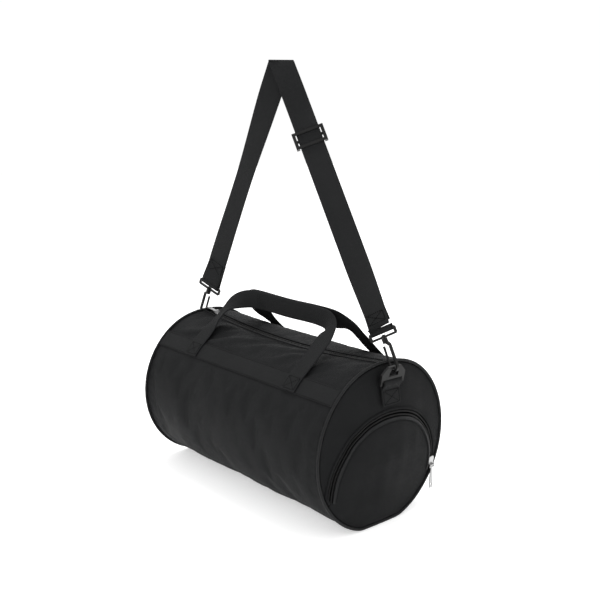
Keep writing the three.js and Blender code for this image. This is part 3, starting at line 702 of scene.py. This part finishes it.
def end_relief(y, z, seed):
    """Slack in the end fabric: pulled flat at the rim, uneven in the middle."""
    share = np.clip(1 - (y / 122) ** 2 - ((z - BODY_ZC) / 122) ** 2, 0, 1)
    rays = np.sin(np.arctan2(z - BODY_ZC, y) * 23 + seed) * np.exp(-share / 0.12) * 0.35
    return (1.5 * wave_sum(y, z, seed, 130) + 0.5 * wave_sum(y, z, seed + 1, 45)) * np.sqrt(share) + rays


def front_x(y, z, off=0.0):
    return END_X + bulge(DOME_FRONT, y, z) + end_relief(y, z, 31) + off


def on_front(y, z, off=0.0):
    y, z = np.broadcast_arrays(np.asarray(y, float), np.asarray(z, float))
    return np.stack([front_x(y, z, off), y, z], axis=-1)


def front_normal(y, z):
    return unit(np.cross(on_front(y + 0.5, z) - on_front(y - 0.5, z),
                         on_front(y, z + 0.5) - on_front(y, z - 0.5)))


def rim_point(degrees, inset=RIM_INSET):
    """Where a disc that is inset from the barrel's surface has its edge."""
    p = section(END_X, degrees, -inset, floor=2 * PIPING_R + 1, folds=False)
    return p[..., 1], p[..., 2]


rim_degs = np.linspace(0, 360, 720, endpoint=False)
rim_y, rim_z = rim_point(rim_degs)


def rim_reach(turn):
    """Distance from the arch's centre to the disc's rim, at an angle in radians."""
    angles = np.arctan2(rim_z - ARCH_Z, rim_y)
    order = np.argsort(angles)
    reach = np.hypot(rim_y, rim_z - ARCH_Z)[order]
    return np.interp(turn, angles[order], reach, period=2 * np.pi)


ARCH_SQUARE = 2.16      # a circle is 2; the sewn arch is slightly squarer at its shoulders
ARCH_LOW = 0.9935       # its height over its radius


def arch_reach(turn, r):
    """Distance from the arch's centre to its line of radius r, at an angle in radians."""
    c, s = np.abs(np.cos(turn)), np.abs(np.sin(turn)) / ARCH_LOW
    return r / (c ** ARCH_SQUARE + s ** ARCH_SQUARE) ** (1 / ARCH_SQUARE)


def arch_track(r, turns):
    reach = arch_reach(turns, r)
    return reach * np.cos(turns), ARCH_Z + reach * np.sin(turns)


# Rear disc.
degs = np.linspace(0, 360, 120, endpoint=False)
shares = np.sqrt(np.linspace(1e-6, 1, 34))
edge_y, edge_z = rim_point(degs)
gy = shares[:, None] * edge_y[None]
gz = BODY_ZC + shares[:, None] * (edge_z[None] - BODY_ZC)
gx = -(END_X + bulge(DOME_REAR, gy, gz) + end_relief(gy, gz, 51))
rear_disc = cloth_piece("end_rear_fabric", np.stack([gx, gy, gz], -1), END_FABRIC, FABRIC_T,
                        uv=np.stack([gy, gz], -1), wrap=True)
put(rear_disc, "bag", "fabric", "end_panel_rear")

# Partition between the pocket and the barrel.
DIVIDER_X = 178.0
DIVIDER_TOP = 238.0     # it ends just under the main zip
edge_y, edge_z = rim_point(degs, 3.6)
gy = shares[:, None] * edge_y[None]
gz = BODY_ZC + shares[:, None] * (np.minimum(edge_z, DIVIDER_TOP)[None] - BODY_ZC)
gx = DIVIDER_X + bulge(6, gy, gz) + 0.8 * end_relief(gy, gz, 71)
divider = cloth_piece("pocket_divider_cloth", np.stack([gx, gy, gz], -1), LINING, 0.9,
                      uv=np.stack([gy, gz], -1), wrap=True, flip=True)
put(divider, "bag", "lining", "pocket_divider")

# Crescent above the pocket.
ARCH_GAP = 5.0          # from the middle of the zip to the fabric on each side of it
dip = math.asin(5 / (ARCH_R + ARCH_GAP))
turns = np.linspace(-dip, math.pi + dip, 150)
shares = np.linspace(0, 1, 16)
inner = arch_reach(turns, ARCH_R + ARCH_GAP)
outer = np.maximum(rim_reach(turns), inner + 0.2)
reach = inner[None] + (outer - inner)[None] * shares[:, None]
gy = reach * np.cos(turns)[None]
gz = ARCH_Z + reach * np.sin(turns)[None]
crescent = cloth_piece("end_front_fabric", on_front(gy, gz), END_FABRIC, FABRIC_T,
                       uv=np.stack([gy, gz], -1), flip=True)
put(crescent, "bag", "fabric", "end_panel_front")

# Pocket front and the fabric under its fold, in one cloth. The front stands a little proud, with a
# turned edge and two rows of stitches.
FLAP_R = ARCH_R - ARCH_GAP
FLAP_PUFF = 4.0         # how far its middle stands out
FLAP_LOW = 5.8          # height of its lower edge


def flap_x(y, z):
    inside = np.clip(1 - (y / FLAP_R) ** 2 - ((z - ARCH_Z) / FLAP_R) ** 2, 0, 1)
    above_fold = np.clip((z - FOLD_Z) / 45, 0, 1)
    return front_x(y, z) + FLAP_PUFF * inside ** 0.7 * above_fold


def on_flap(y, z, off=0.0):
    y, z = np.broadcast_arrays(np.asarray(y, float), np.asarray(z, float))
    return np.stack([flap_x(y, z) + off, y, z], axis=-1)


def rim_half(z):
    """Half the disc's width at a height."""
    drop = (z - BODY_ZC) / (BODY_B - RIM_INSET)
    return (BODY_A - RIM_INSET) * np.sqrt(np.clip(1 - drop ** 2, 0, 1))


lanes = np.linspace(-1, 1, 91)
rows = np.linspace(0, 1, 46)[:, None]
low_z = np.linspace(FLAP_LOW, FOLD_Z - 2, 24)[:, None]
top_y, top_z = arch_track(FLAP_R, np.linspace(math.pi, 0, 91))
gy = np.vstack([lanes * rim_half(low_z), lanes * FLAP_R + (top_y - lanes * FLAP_R) * rows ** 0.9])
gz = np.vstack([low_z + 0 * lanes, FOLD_Z + 2 + (top_z - FOLD_Z - 2) * rows])
flap = cloth_piece("pocket_front_fabric", on_flap(gy, gz), END_FABRIC, FABRIC_T, uv=np.stack([gy, gz], -1))
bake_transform(flap)
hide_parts("pocket_front", "pocket_base")

LEG_END = 63.0          # the arch's legs run straight down to here
ARCH_TAPE_OFF = -2.7    # how far its tapes and teeth lie under the fabric
ARCH_TEETH_OFF = -0.6
flap_thread = Thread()


def arch_line(r):
    """The arch's line at a radius with its legs, kept inside the rim, and the way out from it."""
    turns = np.linspace(0, math.pi, 150)
    y, z = arch_track(r, turns)
    drop = np.linspace(LEG_END, ARCH_Z, 6)[:-1]
    out_y = np.concatenate([np.ones(5), np.cos(turns), -np.ones(5)])
    out_z = np.concatenate([np.zeros(5), np.sin(turns), np.zeros(5)])
    y = np.concatenate([np.full(5, y[0]), y, np.full(5, y[-1])])
    z = np.concatenate([drop, z, drop[::-1]])
    limit = rim_half(z) - 2.4
    return np.clip(y, -limit, limit), z, out_y, out_z


def arch_ribbon(name, r, width, thickness, off, material, place=on_front):
    y, z, out_y, out_z = arch_line(r)
    centres = place(y, z, off)
    return ribbon(name, centres, place(y + out_y, z + out_z, off) - centres, width, thickness, material)


put(arch_ribbon("pocket_edge_binding", FLAP_R - 2.2, 4.6, 1.7, 0.55, PIPING, on_flap), "pocket_flap",
    "fabric")
put(arch_ribbon("pocket_rim_hem", ARCH_R + 7.4, 4.4, 1.5, 0.45, END_FABRIC), "bag", "fabric")
put(arch_ribbon("pocket_tape_inner_cloth", ARCH_R - 5, 7.0, 0.8, ARCH_TAPE_OFF, TAPE), "pocket_flap",
    "zip_tape", "pocket_tape_inner")
put(arch_ribbon("pocket_tape_outer_cloth", ARCH_R + 4.4, 6.0, 0.8, ARCH_TAPE_OFF, TAPE), "bag",
    "zip_tape", "pocket_tape_outer")
for r, thread, off, place in ((FLAP_R - 3.4, flap_thread, 1.4, on_flap),
                              (FLAP_R - 6.8, flap_thread, 0.1, on_flap),
                              (ARCH_R + 8.4, bag_thread, 1.2, on_front)):
    y, z = arch_line(r)[:2]
    thread.run(place(y, z, off), front_normal(y, z), width=0.6)
for name, r, body, node in (("pocket_teeth_inner", ARCH_R - 2.4, "pocket_flap", "pocket_coil_inner"),
                            ("pocket_teeth_outer", ARCH_R + 2.4, "bag", "pocket_coil_outer")):
    line = arch_line(r)
    run = distances(np.stack(line[:2], axis=-1))
    at = np.arange(0.5, run[-1], TOOTH_PITCH)
    y, z, out_y, out_z = (np.interp(at, run, values) for values in line)
    spots = on_front(y, z, ARCH_TEETH_OFF)
    across = on_front(y + out_y, z + out_z, ARCH_TEETH_OFF) - spots
    put(teeth(name, spots, across, front_normal(y, z), 2.6), body, "zip_coil", node)

# ------------------------------------------------------------------ handles

# Centre points and width directions of each leg of the front handle, from its foot to the grip.
# The left leg turns on its way up and the right one folds sharply into the grip.
HANDLE_LEFT = (
    ((-123.5, -68, 245), (1, -0.12, 0)),
    ((-124, -50, 261.5), (0.86, -0.48, 0.0)),
    ((-121.5, -33, 277), (0.74, -0.6, -0.22)),
    ((-112, -18, 289.5), (0.5, -0.42, -0.75)),
    ((-94, -8, 295.6), (0.22, -0.15, -0.96)),
    ((-70, -3.6, 297), (0, 0, -1)),
)
HANDLE_RIGHT = (
    ((123.5, -68, 245), (1, 0, 0)),
    ((124.5, -50, 261.5), (0.98, 0.12, 0.1)),
    ((123.5, -33, 277), (0.9, 0.3, 0.3)),
    ((118.5, -18.5, 288.5), (0.62, 0.34, 0.7)),
    ((104, -8.5, 295), (0.2, 0.14, 0.96)),
    ((76, -3.6, 297), (0, 0, 1)),
)

for side, flip in (("front", 1), ("back", -1)):
    foot_degs = np.linspace(BAND_TO - 0.6, BAND_FROM + 1.4, 6)
    if side == "back":
        foot_degs = 180 - foot_degs
    legs = {}
    for x_sign, half in ((-1, HANDLE_LEFT), (1, HANDLE_RIGHT)):
        stops = [section(x_sign * FOOT_X, deg, 2 * WEB + 0.2) for deg in foot_degs]
        across = [X] * len(stops)
        stops += [np.array([p[0], p[1] * flip, p[2]], float) for p, _ in half]
        across += [np.array([w[0], w[1] * flip, w[2]], float) for _, w in half]
        legs[x_sign] = np.array(stops), np.array(across)
    stops = np.vstack([legs[-1][0], [[0, -2.6 * flip, 296]], legs[1][0][::-1]])
    path, turned = smooth_path(stops, 300, np.vstack([legs[-1][1], [[0, 0, -1]], -legs[1][1][::-1]]))
    loop = ribbon(f"handle_{side}_webbing", path, turned, HANDLE_W, HANDLE_T, WEBBING)
    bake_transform(loop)
    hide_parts(f"handle_{side}", f"handle_foot_{side}_left", f"handle_foot_{side}_right")
    if side == "front":
        # The webbing's ends overlap near the left of the grip, sewn down with two rows.
        seam = Thread()
        for x in (-72, -67):
            seam.run([(x, -4.75, 285), (x, -4.75, 309)], [-Y, -Y])
        put(seam.finish("handle_front_stitching"), "handle_front", "webbing")
    middle = (foot_degs[0] + foot_degs[-1]) / 2
    reach = abs(foot_degs[0] - foot_degs[-1]) / 2 - 1.2
    for foot in (-FOOT_X, FOOT_X):
        def place(u, v):
            deg = middle + v
            return section(foot + u, deg, 2 * WEB + 1.3), outward(foot + u, deg)

        bag_thread.box_with_cross(place, HANDLE_W / 2 - 3, reach)

# ------------------------------------------------------------------ ring tabs

for end, sign in (("front", 1), ("rear", -1)):
    low = box_mm(f"ring_tab_{end}")[0]
    bar = np.array(joints[f"ring_{end}_tilt"]["pos_m"]) / MM
    dome = DOME_FRONT if sign > 0 else DOME_REAR

    def face(z, off):
        return np.array([sign * (END_X + bulge(dome, 0.0, z) + off), 0, z])

    stops = [face(z, 2.9) for z in np.linspace(low[2], 217, 5)]
    for a in np.linspace(-35, 215, 12):
        t = math.radians(a)
        stops.append(bar + 4.3 * np.array([sign * math.cos(t), 0, math.sin(t)]))
    stops += [face(z, 1.2) for z in np.linspace(216, low[2] + 1, 5)]
    path = smooth_path(stops, 90)
    tab = ribbon(f"ring_tab_{end}_webbing", path, np.broadcast_to(Y, path.shape), STRAP_W, 1.5, WEBBING)
    put(tab, "bag", "webbing", f"ring_tab_{end}")

    def place(u, v):
        z = 205.5 + v
        return face(z, 3.75) + np.array([0, u, 0]), np.array([sign, 0, 0.55])

    bag_thread.box_with_cross(place, STRAP_W / 2 - 3, 10)

put(bag_thread.finish("bag_stitching"), "bag", "webbing")
put(flap_thread.finish("pocket_stitching"), "pocket_flap", "webbing")

# ------------------------------------------------------------------ shoulder strap

APEX = np.array([-25.0, 0.0, 685.0])
APEX_TURN = 36.0                # which way the fold at the top faces, in degrees about Z
RING_REACH = 24.0               # from a ring's bar to where the hook hangs in it
RING_LEAN = math.radians(10)
HOOK_LENGTH = 55.0
SLIDER_SHARE = 0.3              # how far down the front leg the adjuster is
WRAP_R = 3.3                    # of the webbing's turn round a hook loop's bar
# aside is how far a leg bows sideways, and turns the way it faces at shares of its length.
LEGS = {
    "front": dict(sign=1, bracket=(208, 0, 299), face=14, aside=13,
                  turns=((0, APEX_TURN), (0.2, 50), (0.68, 50), (0.97, 14), (1, 14))),
    "rear": dict(sign=-1, bracket=(-213, 0, 295), face=15, aside=-11,
                 turns=((0, APEX_TURN), (0.5, 4), (0.97, 15), (1, 15))),
}


def smoothstep(value, low, high):
    t = np.clip((value - low) / (high - low), 0, 1)
    return t * t * (3 - 2 * t)


for end, leg in LEGS.items():
    bar = np.array(joints[f"ring_{end}_tilt"]["pos_m"]) / MM
    ring = bar + RING_REACH * np.array([leg["sign"] * math.sin(RING_LEAN), 0, math.cos(RING_LEAN)])
    leg["up"] = unit(np.array(leg["bracket"], float) - ring)
    leg["top"] = ring + HOOK_LENGTH * leg["up"]
    facing = np.array([math.sin(math.radians(leg["face"])), -math.cos(math.radians(leg["face"])), 0])
    leg["normal"] = unit(facing - leg["up"] * facing.dot(leg["up"]))
    leg["wide"] = np.cross(leg["normal"], leg["up"])


def turn_at(turns, share):
    for (s0, t0), (s1, t1) in zip(turns, turns[1:]):
        if share <= s1:
            return t0 + (t1 - t0) * float(smoothstep(share, s0, s1))
    return turns[-1][1]


def leg_point(end, share, off):
    """A place on a strap leg: its point, width direction and face direction."""
    leg = LEGS[end]
    p = APEX + (leg["top"] - APEX) * share
    side = leg["aside"] * float(smoothstep(share, 0, 0.2) * (1 - smoothstep(share, 0.7, 0.99)))
    p = p + np.array([-1.1 * side, side, 0])
    t = math.radians(turn_at(leg["turns"], max(share, 0)))
    down = unit(leg["top"] - APEX)
    n = np.array([math.sin(t), -math.cos(t), 0])
    n = unit(n - n.dot(down) * down)
    return p + n * off, np.cross(n, down), n


def strap_wrap(leg):
    """Centre points of the webbing where it turns round the bar of a hook loop."""

    def at(out, rise):
        return leg["top"] + out * leg["normal"] + rise * leg["up"]

    turn = np.radians(np.linspace(0, 180, 9))
    half_turn = [at(WRAP_R * math.cos(t), -WRAP_R * math.sin(t)) for t in turn]
    return [at(WRAP_R, 3)] + half_turn + [at(-WRAP_R, 6)]


def leg_webbing(name, end, off, shares, tail):
    """One leg: cut slantwise where it meets the fold at the top, then down and round its hook."""
    leg = LEGS[end]
    spots = [leg_point(end, s, off(s)) for s in shares]
    wrap = strap_wrap(leg)
    centres = [p for p, _, _ in spots] + wrap + [p for p, _, _ in tail]
    across = [w for _, w, _ in spots] + [leg["wide"]] * len(wrap) + [w for _, w, _ in tail]
    centres, across = smooth_path(centres, 300, across)
    down = unit(leg["top"] - APEX)
    run = distances(centres)
    w_z = unit(across[0])[2]

    def shift(row, lane):
        slide = lane * w_z / -down[2]
        fade = np.clip(1 - run[row] / 62, 0, 1)
        return (slide * fade)[..., None] * down

    return ribbon(name, centres, across, STRAP_W, STRAP_T, STRAP_WEBBING, shift=shift)


def front_off(share):
    """How far the front leg's layer stands off the leg's middle: it clears its hook loop's bar."""
    return 0.95 + 2.05 * float(smoothstep(share, 0.93, 0.99))


def rear_off(share):
    return -0.95 + 3.95 * float(smoothstep(share, 0.9, 0.99))


shares = np.concatenate([np.linspace(0.003, 0.2, 10), np.linspace(0.24, 0.66, 8),
                         np.linspace(0.68, 0.985, 16)])
strap_front = leg_webbing("strap_front_webbing", "front", front_off, shares, [])
back_shares = np.linspace(0.985, 0.88, 5)
rear_tail = [leg_point("rear", s, -1.8 - 1.2 * float(smoothstep(s, 0.9, 0.99))) for s in back_shares]
strap_rear = leg_webbing("strap_rear_webbing", "rear", rear_off, shares, rear_tail)
put(strap_front, "strap", "webbing", "strap_webbing")
put(strap_rear, "strap", "webbing", "strap_webbing")

# The fold over the top: half a turn from the front leg's face to the rear leg's.
fold_out = np.array([math.sin(math.radians(APEX_TURN)), -math.cos(math.radians(APEX_TURN)), 0])
fold_along = np.array([math.cos(math.radians(APEX_TURN)), math.sin(math.radians(APEX_TURN)), 0])
turn = np.radians(np.linspace(-20, 200, 16))
fold_path = np.array([APEX - Z * 0.9 + fold_out * 0.95 * math.cos(t) + Z * 0.95 * math.sin(t) for t in turn])
fold_across = np.broadcast_to(fold_along, fold_path.shape)
put(ribbon("strap_top_fold", fold_path, fold_across, 40.0, STRAP_T, STRAP_WEBBING), "strap", "webbing")

# The doubled length below the adjuster.
return_spots = [leg_point("front", s, -1 - 2 * float(smoothstep(s, 0.93, 0.975)))
                for s in np.linspace(SLIDER_SHARE + 0.016, 0.975, 30)]
path, turned = smooth_path([p for p, _, _ in return_spots], 200, [w for _, w, _ in return_spots])
strap_return = ribbon("strap_return_webbing", path, turned, STRAP_W, 1.4, STRAP_WEBBING)
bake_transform(strap_return)
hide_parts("strap_return")

strap_thread = Thread()
for end, share, off, half_v in (("rear", 0.915, 1.0, 12), ("front", 0.955, 3.2, 7)):
    def place(u, v):
        p, w, n = leg_point(end, share + v / 440, off)
        return p + w * u, n

    strap_thread.box_with_cross(place, STRAP_W / 2 - 4, half_v)
put(strap_thread.finish("strap_stitching"), "strap", "webbing")

# ------------------------------------------------------------------ hard parts from the CAD

METAL_EDGE = 0.25       # how far their edges are rounded
PLASTIC_EDGE = 0.45
CARRIED = {
    PLASTIC: ("d_ring_front", "d_ring_rear", "hook_front", "hook_rear", "gate_front", "gate_rear",
              "hook_loop_front", "hook_loop_rear", "strap_adjuster"),
    NICKEL: ("main_slider", "main_puller", "pocket_slider", "pocket_puller"),
    BOARD: ("base_board",),
}
for material, names in CARRIED.items():
    for name in names:
        node = nodes[name]
        node.data.materials.clear()
        node.data.materials.append(material)
        rounded = node.modifiers.new("rounded", "BEVEL")
        rounded.width = (METAL_EDGE if material is NICKEL else PLASTIC_EDGE) * MM
        rounded.segments = 2
        rounded.limit_method = "ANGLE"
        rounded.angle_limit = math.radians(40)

# ------------------------------------------------------------------ floor and light

floor_mesh = bpy.data.meshes.new("floor")
floor_mesh.from_pydata([(-6, -6, 0), (6, -6, 0), (6, 6, 0), (-6, 6, 0)], [], [(0, 1, 2, 3)])
floor = bpy.data.objects.new("floor", floor_mesh)
floor.location.z = -0.0004
scene.collection.objects.link(floor)
n = Nodes("studio_floor", 0.9)
fill(n.shader, {"Base Color": (0.9, 0.9, 0.9, 1), "Emission Color": (1, 1, 1, 1),
                "Emission Strength": 0.45})
floor_mesh.materials.append(n.material)

world = bpy.data.worlds.new("studio")
world.use_nodes = True
fill(world.node_tree.nodes["Background"], {"Color": (1, 1, 1, 1), "Strength": 1.02})
scene.world = world
scene.view_settings.view_transform = "Standard"

for name, place, size, watts in (
    ("top", (-0.4, 0.2, 1.8), 0.8, 20),
    ("front", (0.5, -1.7, 1.1), 1.2, 7),
    ("right", (1.9, 0.5, 0.9), 1.0, 3),
):
    light = bpy.data.lights.new(name, "AREA")
    light.size = size
    light.energy = watts
    lamp = bpy.data.objects.new(name, light)
    lamp.location = place
    lamp.rotation_mode = "QUATERNION"
    lamp.rotation_quaternion = (Vector((0, 0, 0.15)) - Vector(place)).to_track_quat("-Z", "Y")
    scene.collection.objects.link(lamp)
